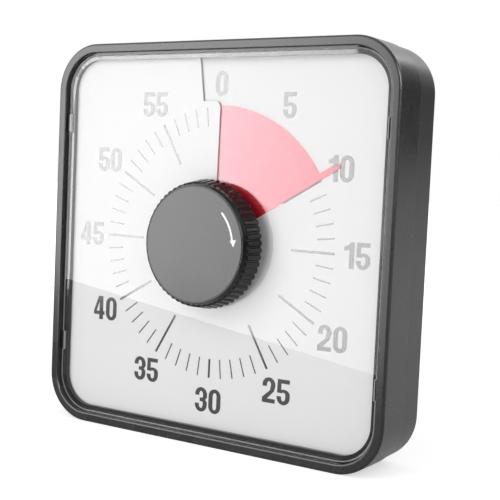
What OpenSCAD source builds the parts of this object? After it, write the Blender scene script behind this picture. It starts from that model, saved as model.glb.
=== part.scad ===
// Visual countdown timer: a square case with a white minute dial behind a clear lens, a large ribbed
// knob, and a red time disc that is fed through a slit in the dial card.
// X runs right, Y runs from the front to the back and Z up. The origin is the middle of the base,
// at the middle of the case's depth. Angles on the dial are clock angles: 0 is up, 90 is to the right.

/* [Case] */
// Width and height of the square case
case_size = 190; // [180:1:230]
// Depth of the case, without the knob
case_depth = 37.6; // [36.5:0.1:48]
// Radius of the case's four corners, seen from the front
corner_r = 23; // [21:0.5:34]
// Depth of the front shell, from its face to the seam at the side
bezel_depth = 20; // [18:0.1:22]
// Thickness of the front shell's side wall
wall = 2.6; // [2:0.1:3.2]
// Width of the front frame round the lens
face_w = 4.6; // [4:0.1:8]
// Radius of the frame's outer front edge
face_edge_r = 1.3; // [0.5:0.1:2]
// Radius of the frame's edge round the window
window_edge_r = 0.9; // [0.3:0.1:1.2]
// Step by which the rear shell is smaller at the seam
seam_step = 0.3; // [0:0.1:1]
// How far the rear shell's sides draw in from the seam to the back
rear_taper = 0.4; // [0:0.1:3]
// Radius of the rear edge
rear_edge_r = 1; // [0.6:0.1:4]
// Thickness of the rear shell's back wall
back_wall = 2.5; // [2.4:0.1:3.5]
// Height and thickness of the lip that centres the rear shell in the front one
lip = 1.4; // [1:0.1:2]
// Radial play of the lip
lip_play = 0.15; // [0.1:0.05:0.3]

/* [Lens and dial] */
// Depth of the lens behind the frame's face
lens_recess = 2.25; // [0.5:0.05:3]
// Thickness of the lens
lens_t = 1.5; // [1:0.1:2]
// Play between the lens and the frame
lens_play = 0.5; // [0.1:0.05:0.6]
// Width of the bevel round the lens's front
lens_bevel = 0.6; // [0.2:0.1:0.9]
// Width of the ledge that carries the lens
ledge_w = 3.1; // [1:0.1:3.5]
// Distance of the frame's four clips from the window's level middle line
clip_z = 55.8; // [40:0.1:62]
// Height of a clip
clip_h = 8.8; // [6:0.1:12]
// How far a clip reaches from the frame into its notch in the lens
clip_reach = 1.5; // [0.8:0.1:2]
// Radius of the hole in the lens for the knob's stem
lens_hole_r = 10; // [9.5:0.1:14]
// Depth of the dial card behind the frame's face
card_depth = 6.8; // [6.4:0.1:8]
// Height of the dial's centre over the case's centre
dial_rise = 0.5; // [-2:0.1:2]
// Thickness of the dial card
card_t = 0.35; // [0.2:0.05:0.5]
// Radius of the hole in the dial card for the disc's hub
card_hole_r = 11; // [10:0.1:14]
// Angle of the slit inside the jog, at the zero mark
slit_angle = 0.4; // [-1:0.1:1]
// Angle of the slit outside the jog
outer_slit_angle = -7.9; // [-12:0.1:-6]
// Height of the slit's jog over the dial's centre
jog_h = 66.7; // [65.6:0.1:67.5]
// Radius of the card's corner at the jog
jog_r = 2.4; // [0.5:0.1:3]
// Thickness of the dial plate behind the card
plate_t = 1.6; // [1.2:0.1:2]

/* [Marks and numbers] */
// Outer radius of the minute marks
mark_r = 64; // [60:0.5:64.5]
// Length of a minute mark
minor_len = 9; // [5:0.5:14]
// Length of a five minute mark
major_len = 22.1; // [12:0.1:25]
// Width of a minute mark
minor_w = 0.6; // [0.3:0.05:0.8]
// Width of a five minute mark
major_w = 1.1; // [0.8:0.05:2]
// Radius of the ring of numbers
numeral_r = 75; // [73.5:0.1:77]
// Height of a digit
digit_h = 11.8; // [9:0.1:13]
// Width of a digit
digit_w = 6.9; // [5:0.1:7.5]
// Width of a digit's upright strokes
stroke = 2.35; // [1.5:0.05:2.4]
// Space between two digits
digit_gap = 0.9; // [0.5:0.1:1.5]
// Thickness of the printed ink
ink_t = 0.06; // [0.04:0.01:0.1]

/* [Time disc] */
// Radius of the red disc
disc_r = 64.8; // [62:0.1:65]
// Thickness of the red disc
disc_t = 0.25; // [0.15:0.05:0.35]
// Lead of the disc's screw surface over one turn
disc_pitch = 1.4; // [1.3:0.05:1.6]
// Radius of the end of the disc's finger tab
tab_reach = 75.5; // [70:0.1:76]
// Width of the finger tab
tab_w = 3; // [2:0.1:4]
// Radius of the disc's hub
hub_r = 8; // [6:0.1:9]
// Minutes that the timer is set to
set_minutes = 10; // [0:1:60]

/* [Knob] */
// Radius of the knob's flat face
knob_face_r = 26.8; // [22:0.1:28]
// Radius where the ribs start
knob_rim_r = 28.8; // [28.2:0.1:30]
// Radius at the knob's base
knob_base_r = 30.3; // [30:0.1:32]
// Height of the knob, from its base to its face
knob_h = 11.2; // [9:0.1:16]
// Length of the smooth shoulder in front of the ribs
shoulder = 2.2; // [1.5:0.1:5]
// Gap between the lens and the knob's base
knob_gap = 1.8; // [0.8:0.1:3]
// Number of ribs
rib_count = 57; // [40:1:72]
// Height of the ribs over the grooves between them
rib_depth = 0.8; // [0.4:0.05:1.2]
// Width of the fine groove round the knob's face
face_gap = 0.35; // [0.2:0.05:0.6]
// Wall thickness of the knob
knob_wall = 2.6; // [2:0.1:3.5]
// Radius of the knob's stem
stem_r = 8.5; // [6:0.1:9]
// Radius of the printed arrow's arc
arrow_r = 21.6; // [16:0.1:23]
// Width of the arrow's line
arrow_w = 0.95; // [0.5:0.05:1.5]
// Width of the arrow's head
arrow_head = 3.3; // [2:0.1:5]
// Radius of the arbor that carries the knob
arbor_r = 2; // [1.5:0.1:2.5]

/* [Movement] */
// Half the side of the square movement case
mov_half = 28; // [27:0.5:30]
// Depth of the movement case
mov_depth = 13; // [12.6:0.1:15]
// Wall of the movement case
mov_wall = 1.2; // [1:0.1:1.6]
// Gear module, the pitch diameter over the number of teeth
gear_module = 0.3; // [0.27:0.01:0.3]
// Teeth of the centre wheel
centre_teeth = 96; // [84:4:96]
// Teeth of the first wheel
first_teeth = 80; // [68:4:84]
// Teeth of both pinions
pinion_teeth = 8; // [8:1:9]
// Thickness of a wheel
wheel_t = 0.8; // [0.5:0.1:1]
// Radius of the rotor's magnet
rotor_r = 3; // [2.5:0.1:3.5]
// Radius of the coil's winding
coil_r = 3.6; // [3:0.1:4]
// Thickness of the circuit board
board_t = 1.2; // [0.8:0.1:1.6]

/* [Battery] */
// Radius of the cell
cell_r = 7.25; // [5.25:0.05:7.25]
// Length of the cell with its cap
cell_len = 50.5; // [44.5:0.5:50.5]
// Height of the cell over the case's centre
battery_z = 44; // [43:0.5:48]
// Thickness of the battery door
door_t = 2.4; // [2.2:0.1:2.4]
// Width that the door overlaps the battery bay at each end
door_lap = 1.4; // [1:0.1:3]

/* [Back] */
// Half the width of the fold-out stand
stand_half = 22; // [16:0.5:28]
// Length of the stand, from its pivot to its foot
stand_len = 88; // [60:1:88]
// Thickness of the stand
stand_t = 3.5; // [3:0.1:4]
// Height of the stand's pivot over the case's centre
stand_z = 4; // [0:0.5:8]
// Radius of the stand's pivot pins
pivot_r = 1.2; // [1:0.1:1.3]
// Height of the hanging hole over the case's centre
keyhole_z = 70; // [68:0.5:72]
// Radius of the hanging hole's entry
keyhole_r = 4.5; // [4:0.1:5]
// Radius of the hanging hole's slot
keyhole_slot_r = 2.3; // [2:0.1:2.6]
// Distance of the buzzer and of the volume switch from the case's side
side_inset = 37; // [33:0.5:43]
// Depth of the buzzer and of the volume switch under the case's centre
side_z = -40; // [-50:0.5:-30]
// Radius of the buzzer
buzzer_r = 14; // [12:0.5:16]
// Travel of the volume slider to each side
slider_travel = 3; // [2:0.1:3.5]
// Distance of the case screws from the case's sides
screw_inset = 11; // [10.5:0.5:13]
// Distance of the case screws from the case's top and base
screw_drop = 27; // [26:0.5:35]

/* [Hidden] */
$fn = 72;

half = case_size / 2;
corner_at = half - corner_r;
mid_z = half;
dial_z = mid_z + dial_rise;
minute = 6;
set_angle = set_minutes * minute;
running = 0.05;
play = 0.3;
touch = 0.02;
ink_gap = 0.012;

// Levels along Y, from the front to the back
front_y = -case_depth / 2;
back_y = case_depth / 2;
seam_y = front_y + bezel_depth;
lens_y = front_y + lens_recess;
seat_y = lens_y + lens_t;
card_y = front_y + card_depth;
card_front = card_y - disc_pitch / 2 - card_t / 2;
card_back = card_y + disc_pitch * (180 - outer_slit_angle) / 360 + card_t / 2;
ledge_back = card_front - running;
disc_span = 372;
plate_y = card_y + disc_pitch * disc_span / 360 + disc_t / 2 + play;
plate_back = plate_y + plate_t;
back_in = back_y - back_wall;
knob_y = lens_y - knob_gap;
knob_face = knob_y - knob_h;

// Sizes of the window, across the flats from the middle
window_half = half - face_w;
card_half = window_half - ledge_w / 2;
inner_half = half - wall;
screw_x = half - screw_inset;
screw_z = half - screw_drop;
side_x = half - side_inset;

// Movement levels and places, with X and Z from the dial's centre
mov_front = plate_back;
mov_back = mov_front + mov_depth;
mov_floor = mov_front + mov_wall;
mov_lid = mov_back - mov_wall;
first_y = mov_floor + 0.3;
centre_y = first_y + wheel_t + 0.7;
boss_end = centre_y + wheel_t + 0.4;
spring_y = boss_end + touch;
spring_t = 0.35;
cam_y = spring_y + spring_t + touch;
cam_t = 1.5;
board_y = mov_lid - 1.4 - board_t;
rotor_y = board_y - 3.6;
rotor_t = 3;
first_arm = gear_module * (centre_teeth + pinion_teeth) / 2;
rotor_arm = gear_module * (first_teeth + pinion_teeth) / 2;
first_dir = 228;
rotor_dir = -30;
first_at = first_arm * [cos(first_dir), sin(first_dir)];
rotor_at = first_at + rotor_arm * [cos(rotor_dir), sin(rotor_dir)];
pin_r = 0.75;
mov_screw_at = mov_half - 3;
mov_screw_r = 1.1;
coil_x = mov_half - mov_wall - coil_r - 3.2;
arm_top = 3;
arm_x = 8.4;
arm_w = 4;
stator_low = rotor_at[1] - rotor_r - 2.4;

// Battery bay
cell_y = back_in - cell_r - play;
bay_half = cell_len / 2 + 4.2;
bay_h = cell_r + play;
bay_wall = 1.6;
bay_front = cell_y - cell_r - play;
bay_side = 3;
door_half = bay_half + door_lap;
door_top = battery_z + bay_h + 2.6;
door_low = battery_z - bay_h - 1.2;
door_pin_r = 0.8;
door_pin_len = 1.4;
door_axis_y = back_y - door_t / 2;
door_axis_z = door_top - door_t / 2;

// Stand
stand_axis_y = back_y - stand_t / 2;
stand_low = stand_z - stand_len;
tray_y = back_y - stand_t - 0.7;
tray_wall = 1.8;
tray_side = 3.4;
notch_h = 4;
pivot_len = 2.4;

// Screws
case_screw_r = 1.4;
head_r = 2.9;
head_t = 2;
screw_len = 11;
post_r = 4;
tube_r = 4.8;
tube_floor = 3;

// Webs that tie the screw posts to the front shell, and the rear shell's pads behind the dial plate
web_t = 3;
pad_z = 30;
pad_h = 12;

// Buzzer and switch
buzzer_h = 8;
piezo_r = buzzer_r - 3.6;
switch_half = 10;
switch_h = 4;
switch_d = 6;
slider_half = 3;
slider_h = 2;
slot_h = 1.5;

function clock(r, a) = [r * sin(a), r * cos(a)];
function arc(c, rx, ry, from, to, n) =
    [for (i = [0:n]) let (a = from + (to - from) * i / n) c + [rx * cos(a), ry * sin(a)]];
function flat(lists) = [for (list = lists) for (item = list) item];

// A flat shape drawn as seen from the front, as thick as from one Y to the other
module slab(from, to) {
    translate([0, from, 0]) rotate([90, 0, 0]) mirror([0, 0, 1]) linear_extrude(to - from) children();
}

module rod(from, to, r) {
    slab(from, to) circle(r);
}

// A section of radius and Y, turned about Y
module turned() {
    rotate([-90, 0, 0]) rotate_extrude() children();
}

// A section carried round the rounded square of the case. Its X is the distance from the corner's centre
module around() {
    for (i = [0:3])
        rotate([0, 90 * i, 0]) translate([corner_at, 0, -corner_at]) {
            rotate([-90, 0, 0]) rotate_extrude(angle = 90) children();
            linear_extrude(2 * corner_at) children();
        }
}

module rounded_square(h, r) {
    square([2 * h, 2 * (h - r)], center = true);
    square([2 * (h - r), 2 * h], center = true);
    for (x = [-1, 1], y = [-1, 1]) translate([x * (h - r), y * (h - r)]) circle(r);
}

module on_case() {
    translate([0, 0, mid_z]) children();
}

module on_dial() {
    translate([0, 0, dial_z]) children();
}

module four(x, z) {
    for (i = [-1, 1], j = [-1, 1]) translate([i * x, 0, j * z]) children();
}

// Two places at each side, as far over and under the middle as z
module four_sides(z) {
    for (side = [0, 180], i = [-1, 1]) rotate([0, side, 0]) translate([0, 0, i * z]) children();
}

module box(low, high) {
    translate(low) cube(high - low);
}

// ---------------------------------------------------------------- case

module front_bezel() {
    window = corner_r - face_w;
    color([0.13, 0.13, 0.14]) on_case() difference() {
        union() {
            around() polygon(concat(
                arc([window + window_edge_r, front_y + window_edge_r], window_edge_r, window_edge_r,
                    180, 270, 6),
                arc([corner_r - face_edge_r, front_y + face_edge_r], face_edge_r, face_edge_r, -90, 0, 6),
                [[corner_r, seam_y], [corner_r - wall, seam_y], [corner_r - wall, ledge_back],
                 [window - ledge_w, ledge_back], [window - ledge_w, seat_y], [window, seat_y]]));
            four_sides(clip_z) box([window_half - clip_reach, lens_y + play, -clip_h / 2],
                                   [window_half + 0.5, seat_y + 0.5, clip_h / 2]);
            four(screw_x, screw_z) rod(plate_y, seam_y, post_r);
            four_sides(screw_z) box([screw_x, plate_y, -web_t / 2],
                                    [inner_half + 0.5, seam_y - lip - play, web_t / 2]);
        }
        four(screw_x, screw_z) rod(plate_y + 1, seam_y + 1, case_screw_r + running);
    }
}

module keyhole(grow) {
    translate([0, keyhole_z]) circle(keyhole_r + grow);
    translate([-keyhole_slot_r - grow, keyhole_z]) square([2 * (keyhole_slot_r + grow), 8]);
    translate([0, keyhole_z + 8]) circle(keyhole_slot_r + grow);
}

module rear_shell() {
    outer = corner_r - seam_step;
    lip_out = corner_r - wall - lip_play;
    lip_in = lip_out - lip;
    around() polygon(concat(
        [[outer, seam_y]],
        arc([outer - rear_taper - rear_edge_r, back_y - rear_edge_r], rear_edge_r, rear_edge_r, 0, 90, 6),
        [[0, back_y], [0, back_in], [lip_in, back_in], [lip_in, seam_y - lip],
         [lip_out, seam_y - lip], [lip_out, seam_y]]));
    box([-corner_at, back_in, -corner_at], [corner_at, back_y, corner_at]);
}

module bay_walls() {
    box([-bay_half - bay_side, bay_front - bay_wall, battery_z - bay_h - bay_wall],
        [bay_half + bay_side, back_in + 0.5, battery_z + bay_h + bay_wall + 1.4]);
}

module stand_tray() {
    box([-stand_half - play - tray_side, tray_y - tray_wall, stand_low - notch_h - play - tray_wall],
        [stand_half + play + tray_side, back_in + 0.5, stand_z + stand_t / 2 + play + tray_wall]);
}

module keyhole_pocket() {
    pocket = keyhole_r + 2.5;
    box([-pocket - 1.5, back_in - 7.5, keyhole_z - pocket - 1.5],
        [pocket + 1.5, back_in + 0.5, keyhole_z + 14]);
}

module keyhole_cut() {
    pocket = keyhole_r + 2.5;
    slab(back_in - 1, back_y + 1) keyhole(0);
    box([-pocket, back_in - 6, keyhole_z - pocket], [pocket, back_in, keyhole_z + 12.5]);
}

module bay_cut() {
    box([-bay_half, bay_front, battery_z - bay_h], [bay_half, back_y + 1, battery_z + bay_h]);
    box([-door_half - play, back_y - door_t - 0.05, door_low - play],
        [door_half + play, back_y + 1, door_top + play]);
    translate([-door_half - door_pin_len - play, door_axis_y, door_axis_z]) rotate([0, 90, 0])
        cylinder(r = door_pin_r + running, h = 2 * (door_half + door_pin_len + play));
}

module tray_cut() {
    box([-stand_half - play, tray_y, stand_low - notch_h - play],
        [stand_half + play, back_y + 1, stand_z + stand_t / 2 + play]);
    translate([-stand_half - pivot_len - play, stand_axis_y, stand_z]) rotate([0, 90, 0])
        cylinder(r = pivot_r + running, h = 2 * (stand_half + pivot_len + play));
}

module grille_cut() {
    for (i = [-2:2]) {
        run = sqrt(pow(piezo_r, 2) - pow(4 * i, 2)) * 0.95;
        box([side_x - run, back_in - 1, side_z + 4 * i - 1], [side_x + run, back_y + 1, side_z + 4 * i + 1]);
    }
}

module slider_cut() {
    reach = slider_half + slider_travel + play;
    box([-side_x - reach, back_y - 1.2, side_z - slider_h - play],
        [-side_x + reach, back_y + 1, side_z + slider_h + play]);
    box([-side_x - slot_h - slider_travel - play, back_in - 1, side_z - slot_h - play],
        [-side_x + slot_h + slider_travel + play, back_y, side_z + slot_h + play]);
}

module rear_housing() {
    color([0.15, 0.15, 0.16]) on_case() difference() {
        union() {
            difference() {
                rear_shell();
                four(screw_x, screw_z) rod(seam_y + tube_floor, back_y + 1, head_r + play);
            }
            four(screw_x, screw_z) difference() {
                rod(seam_y + touch, back_in + 0.5, tube_r);
                rod(seam_y + tube_floor, back_y + 1, head_r + play);
            }
            four_sides(pad_z) box([inner_half - 4, plate_back + touch, -pad_h / 2],
                                  [inner_half - lip_play - 0.05, seam_y + 3, pad_h / 2]);
            bay_walls();
            stand_tray();
            keyhole_pocket();
            translate([side_x, 0, side_z]) difference() {
                rod(back_in - 3, back_in + 0.5, buzzer_r + play + 1.5);
                rod(back_in - 4, back_in, buzzer_r + play / 3);
            }
        }
        four(screw_x, screw_z) rod(seam_y - 1, back_in, case_screw_r + play);
        bay_cut();
        tray_cut();
        keyhole_cut();
        grille_cut();
        slider_cut();
    }
}

module lens() {
    rim = corner_r - face_w - lens_play;
    color([0.9, 0.95, 1, 0.25]) on_case() difference() {
        union() {
            around() polygon([[0, lens_y], [rim - lens_bevel, lens_y], [rim, lens_y + lens_bevel],
                              [rim, seat_y], [0, seat_y]]);
            box([-corner_at, lens_y, -corner_at], [corner_at, seat_y, corner_at]);
        }
        translate([0, 0, dial_rise]) rod(lens_y - 1, seat_y + 1, lens_hole_r);
        four_sides(clip_z) box([window_half - clip_reach - play, lens_y - 1, -clip_h / 2 - play],
                               [half, seat_y + 1, clip_h / 2 + play]);
    }
}

// ---------------------------------------------------------------- dial

// Height of the card's screw surface towards the front, and of the disc's, which lies half a lead from it
function card_lift(a) = disc_pitch * (a - 180) / 360;
function disc_lift(a) = disc_pitch * a / 360;

// Distance from the dial's centre to the card's rounded edge along a clock angle
function card_edge(a) =
    let (d = clock(1, a), r = corner_r - (half - card_half), inner = card_half - r,
         sz = d[1] < 0 ? -1 : 1, sx = d[0] < 0 ? -1 : 1,
         s = min(card_half / max(abs(d[0]), 0.001), (card_half - sz * dial_rise) / max(abs(d[1]), 0.001)),
         p = s * d + [0, dial_rise],
         c = [sx * inner, sz * inner - dial_rise],
         b = c * d)
    abs(p[0]) > inner && abs(p[1]) > inner ? b + sqrt(max(0, b * b - c * c + r * r)) : s;

// The jog's edge: level, with a round corner where it meets the slit
function jog_edge(a) =
    let (x = jog_h * sin(a), over = max(0, x - jog_h * sin(slit_angle) + jog_r),
         drop = jog_r - sqrt(max(0, jog_r * jog_r - over * over)))
    (jog_h - drop) / cos(a);

card_step = 3;
card_angles = concat(
    [for (a = [outer_slit_angle:1.5:slit_angle - 1]) a], [slit_angle - 0.6, slit_angle - 0.2, slit_angle],
    [for (a = [card_step:card_step:348]) a], [360 + outer_slit_angle],
    [for (a = [356.2:0.6:359.6]) a], [360 + slit_angle]);
card_first = [for (i = [0:len(card_angles) - 1]) if (card_angles[i] == slit_angle) i][0];
card_last = [for (i = [0:len(card_angles) - 1]) if (card_angles[i] == 360 + outer_slit_angle) i][0];

function jog_at(a) = a < slit_angle + 0.001 ? jog_edge(a)
    : a > 360 + outer_slit_angle - 0.001 ? jog_edge(a - 360) : jog_h;

// Six corners at each angle: hole, jog and edge, each at the back and at the front of the sheet
card_points = flat([for (a = card_angles)
    [for (r = [card_hole_r, jog_at(a), card_edge(a)], side = [-1, 1])
        [r * sin(a), card_y - card_lift(a) - side * card_t / 2, r * cos(a)]]]);

// A cell of the sheet between two neighbouring angles, over two of the three radii
function cell_faces(i, ring) =
    let (p = 6 * i + 2 * ring, q = p + 6)
    [[p + 1, p + 3, q + 1], [p + 3, q + 3, q + 1], [p, q, p + 2], [p + 2, q, q + 2]];
function round_wall(i, ring, out) =
    let (p = 6 * i + 2 * ring, q = p + 6)
    out ? [[p, q, p + 1], [q, q + 1, p + 1]] : [[p, p + 1, q], [q, p + 1, q + 1]];
function end_wall(i, ring, out) =
    let (p = 6 * i + 2 * ring)
    out ? [[p, p + 2, p + 1], [p + 2, p + 3, p + 1]] : [[p, p + 1, p + 2], [p + 2, p + 1, p + 3]];

card_count = len(card_angles) - 1;
card_faces = flat(concat(
    [for (i = [card_first:card_count - 1]) cell_faces(i, 0)],
    [for (i = [0:card_last - 1]) cell_faces(i, 1)],
    [for (i = [card_first:card_count - 1]) round_wall(i, 0, false)],
    [for (i = [0:card_last - 1]) round_wall(i, 2, true)],
    [for (i = [0:card_first - 1]) round_wall(i, 1, false)],
    [for (i = [card_last:card_count - 1]) round_wall(i, 1, true)],
    [end_wall(card_first, 0, false), end_wall(card_count, 0, true),
     end_wall(0, 1, false), end_wall(card_last, 1, true)]));

module dial_card() {
    color([0.95, 0.95, 0.95]) on_dial() polyhedron(card_points, card_faces);
}

// A print on the card at a clock angle and radius, tilted with the card's slope there
module printed(a, r) {
    slope = atan(disc_pitch / (2 * PI * r));
    rotate([0, a, 0]) translate([0, card_y - card_lift(a) - card_t / 2, 0]) rotate([0, 0, -slope])
        slab(-ink_t - ink_gap, -ink_gap) children();
}

module minute_marks() {
    color([0.2, 0.2, 0.2]) on_dial() for (m = [1:59]) {
        w = m % 5 == 0 ? major_w : minor_w;
        run = m % 5 == 0 && m != 30 ? major_len : minor_len;
        printed(m * minute, mark_r - run / 2) translate([-w / 2, mark_r - run]) square([w, run]);
    }
}

// Digits, each drawn from the lower left corner of its box
module digit_0() {
    w = digit_w / 2;
    c = [w, digit_h / 2];
    difference() {
        polygon(concat(arc(c + [0, digit_h / 2 - w], w, w, 0, 180, 10),
                       arc(c - [0, digit_h / 2 - w], w, w, 180, 360, 10)));
        polygon(concat(arc(c + [0, digit_h / 2 - w], w - stroke, w - stroke * 0.75, 0, 180, 8),
                       arc(c - [0, digit_h / 2 - w], w - stroke, w - stroke * 0.75, 180, 360, 8)));
    }
}

module digit_1() {
    w = one_w;
    polygon([[w - stroke, 0], [w, 0], [w, digit_h], [w - stroke * 0.75, digit_h],
             [w - stroke * 1.2, digit_h - 1.3], [0, digit_h - 2.2], [0, digit_h - 3.9],
             [w - stroke, digit_h - 3.5]]);
}

module digit_2() {
    w = digit_w / 2;
    top = [w, digit_h - w];
    low = stroke * 0.82;
    polygon(concat(
        [[0, 0], [digit_w, 0], [digit_w, low], [stroke + 0.35, low], [digit_w - 0.8, digit_h * 0.46]],
        arc(top, w, w, -12, 180, 12),
        [[0, digit_h - w - 0.8], [stroke, digit_h - w - 0.8]],
        arc(top, w - stroke, w - stroke * 0.75, 180, 0, 8),
        [[digit_w - stroke - 0.5, digit_h * 0.5], [0, low + 0.4]]));
}

module digit_3() {
    w = digit_w / 2;
    inner = w - stroke;
    bar = stroke * 0.75;
    top = [w, digit_h - w];
    low = [w, w];
    waist = digit_h / 2;
    polygon(concat(
        [[0, w + 0.5]], arc(low, w, w, 180, 360, 12),
        [[digit_w, waist - 1.1], [digit_w - 1, waist + 0.1], [digit_w, waist + 1.3]],
        arc(top, w, w, 0, 180, 12),
        [[0, digit_h - w - 0.5], [stroke, digit_h - w - 0.5]],
        arc(top, inner, w - bar, 180, 0, 8),
        [[digit_w - stroke, waist + 1.3], [digit_w - stroke - 0.5, waist + bar / 2],
         [w - 0.7, waist + bar / 2], [w - 0.7, waist - bar / 2],
         [digit_w - stroke - 0.5, waist - bar / 2], [digit_w - stroke, waist - 1.1]],
        arc(low, inner, w - bar, 0, -180, 8),
        [[stroke, w + 0.5]]));
}

module digit_4() {
    right = digit_w - 1;
    foot = digit_h * 0.2;
    bar = stroke * 0.78;
    difference() {
        polygon([[right - stroke, 0], [right, 0], [right, foot], [digit_w, foot], [digit_w, foot + bar],
                 [right, foot + bar], [right, digit_h], [right - stroke - 0.6, digit_h], [0, foot + bar],
                 [0, foot], [right - stroke, foot]]);
        polygon([[stroke * 0.72, foot + bar], [right - stroke, foot + bar],
                 [right - stroke, digit_h * 0.74]]);
    }
}

module digit_5() {
    w = digit_w / 2;
    inner = w - stroke;
    bar = stroke * 0.75;
    low = [w, w];
    shelf = digit_h * 0.62;
    polygon(concat(
        [[0, w + 0.4]], arc(low, w, w, 180, 360, 12),
        arc([w + 0.2, shelf - w + 1], w - 0.2, w - 1.1, 0, 112, 7),
        [[stroke - 0.1, shelf - 0.5], [stroke - 0.1, digit_h - bar - 0.15],
         [digit_w - 0.3, digit_h - bar - 0.15], [digit_w - 0.3, digit_h], [0.25, digit_h],
         [0.1, digit_h * 0.46], [stroke - 0.1, digit_h * 0.46]],
        arc([w, shelf - w + 1], inner, inner - 0.2, 150, 0, 6),
        arc(low, inner, w - bar, 0, -180, 8),
        [[stroke, w + 0.4]]));
}

one_w = digit_w * 0.72;

module digit(n) {
    if (n == 0) digit_0();
    if (n == 1) digit_1();
    if (n == 2) digit_2();
    if (n == 3) digit_3();
    if (n == 4) digit_4();
    if (n == 5) digit_5();
}

// A number upright at its place: first digit, second digit, its own box centred on the ring of numbers
module numeral(value) {
    tens = floor(value / 10);
    first_w = tens == 1 ? one_w : digit_w;
    wide = value < 10 ? digit_w : first_w + digit_gap + digit_w;
    translate([-wide / 2, -digit_h / 2]) {
        if (value >= 10) digit(tens);
        translate([value < 10 ? 0 : first_w + digit_gap, 0]) digit(value % 10);
    }
}

module numerals() {
    color([0.2, 0.2, 0.2]) on_dial() for (m = [0:5:55])
        printed(m * minute, numeral_r) translate([0, numeral_r]) rotate(m * minute) numeral(m);
}

module post_notch() {
    four(screw_x, screw_z) rod(card_y, plate_back + 1, post_r + 0.5);
    four_sides(screw_z) box([screw_x, card_y, -post_r - 0.5], [half, plate_back + 1, post_r + 0.5]);
}

module dial_plate() {
    color([0.85, 0.85, 0.84]) difference() {
        on_case() difference() {
            slab(card_back + touch, plate_back)
                rounded_square(inner_half - lip_play * 2, corner_r - wall - lip_play * 2);
            translate([0, 0, dial_rise]) rod(card_y, plate_y, tab_reach + 1.5);
            post_notch();
        }
        on_dial() rod(card_y, plate_back + 1, bushing_r + running);
        on_dial() four(mov_screw_at, mov_screw_at) rod(card_y, plate_back + 1, mov_screw_r + running);
    }
}

bushing_r = arbor_r + 2.4;

// ---------------------------------------------------------------- time disc

tab_in = disc_r * cos(asin(tab_w / disc_r));
tab_round = tab_reach - tab_w / 2;
disc_start = set_angle - disc_span;
tab_steps = [for (i = [0:6]) tab_w * (1 + cos(180 * i / 6)) / 2];

// Pairs of angle and outer radius along the disc's rim, with the tab's rounded end at the leading edge
disc_rim = concat(
    [for (a = [disc_start:3:set_angle - 6]) [a, disc_r]],
    [[set_angle - asin(tab_w / disc_r), disc_r]],
    [for (u = tab_steps) [set_angle - asin(u / tab_round),
        tab_round + sqrt(max(0, pow(tab_w / 2, 2) - pow(u - tab_w / 2, 2)))]]);
disc_inner = hub_r + 0.03;
disc_points = flat([for (p = disc_rim) [for (r = [disc_inner, p[1]], side = [-1, 1])
    [r * sin(p[0]), card_y - disc_lift(p[0]) - side * disc_t / 2, r * cos(p[0])]]]);
disc_cells = len(disc_rim) - 1;
disc_faces = flat(concat(
    [for (i = [0:disc_cells - 1]) let (p = 4 * i, q = p + 4)
        [[p + 1, p + 3, q + 1], [p + 3, q + 3, q + 1], [p, q, p + 2], [p + 2, q, q + 2],
         [p, p + 1, q], [q, p + 1, q + 1], [p + 2, q + 2, p + 3], [q + 2, q + 3, p + 3]]],
    [[[0, 2, 1], [1, 2, 3]],
     let (e = 4 * disc_cells) [[e, e + 1, e + 2], [e + 1, e + 3, e + 2]]]));

module time_disc() {
    color([0.85, 0.1, 0.12]) on_dial() polyhedron(disc_points, disc_faces);
}

hub_back = plate_y - play / 2 - disc_lift(set_angle);
hub_front = card_y - disc_lift(set_angle) - disc_t / 2 - 0.25;

module disc_hub() {
    color([0.8, 0.8, 0.78]) on_dial() difference() {
        rod(hub_front, hub_back, hub_r);
        rod(hub_front - 1, hub_back + 1, arbor_r + running);
    }
}

// ---------------------------------------------------------------- knob

stem_end = min(seat_y + 0.3, card_y - disc_lift(360) - disc_t / 2 - 0.25 - play);

// Half of a groove's section: its X is a share of the ribs' pitch, its Y a share of their height
groove_side = [[0.05, -1], [0.13, -0.78], [0.24, -0.27], [0.48, 0.3]];

module knob_groove() {
    tilt = atan((knob_base_r - knob_rim_r) / (knob_h - shoulder));
    pitch = 2 * PI * knob_rim_r / rib_count;
    translate([0, knob_face + shoulder - 0.2, knob_rim_r]) rotate([tilt, 0, 0])
        slab(-0.3, knob_h) polygon(concat(
            [for (p = groove_side) [pitch * p[0], rib_depth * p[1]]],
            [for (i = [3:-1:0]) [-pitch * groove_side[i][0], rib_depth * groove_side[i][1]]]));
}

module knob() {
    edge = 0.5;
    color([0.16, 0.16, 0.17]) on_dial() difference() {
        turned() polygon(concat(
            [[0, knob_face], [knob_face_r - face_gap, knob_face],
             [knob_face_r - face_gap, knob_face + face_gap], [knob_face_r, knob_face + face_gap]],
            arc([knob_face_r + 0.1, knob_face + 0.1 + edge], edge, edge, -100, -20, 5),
            [[knob_rim_r - rib_depth, knob_face + shoulder - 0.2], [knob_rim_r, knob_face + shoulder + 0.2],
             [knob_base_r, knob_y], [knob_base_r - knob_wall, knob_y],
             [knob_rim_r - knob_wall - rib_depth, knob_face + knob_wall + 1.4],
             [stem_r, knob_face + knob_wall + 1.4], [stem_r, stem_end], [arbor_r + touch, stem_end],
             [arbor_r + touch, knob_face + knob_wall], [0, knob_face + knob_wall]]));
        for (i = [0:rib_count - 1]) rotate([0, 360 * i / rib_count, 0]) knob_groove();
    }
}

// The arrow shows which way to turn the knob
arrow_from = set_angle - 14.7;
arrow_to = set_angle + 21;
arrow_tip = set_angle + 29;

arrow_turn = [for (i = [0:12]) arrow_from + (arrow_to - arrow_from) * i / 12];

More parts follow.
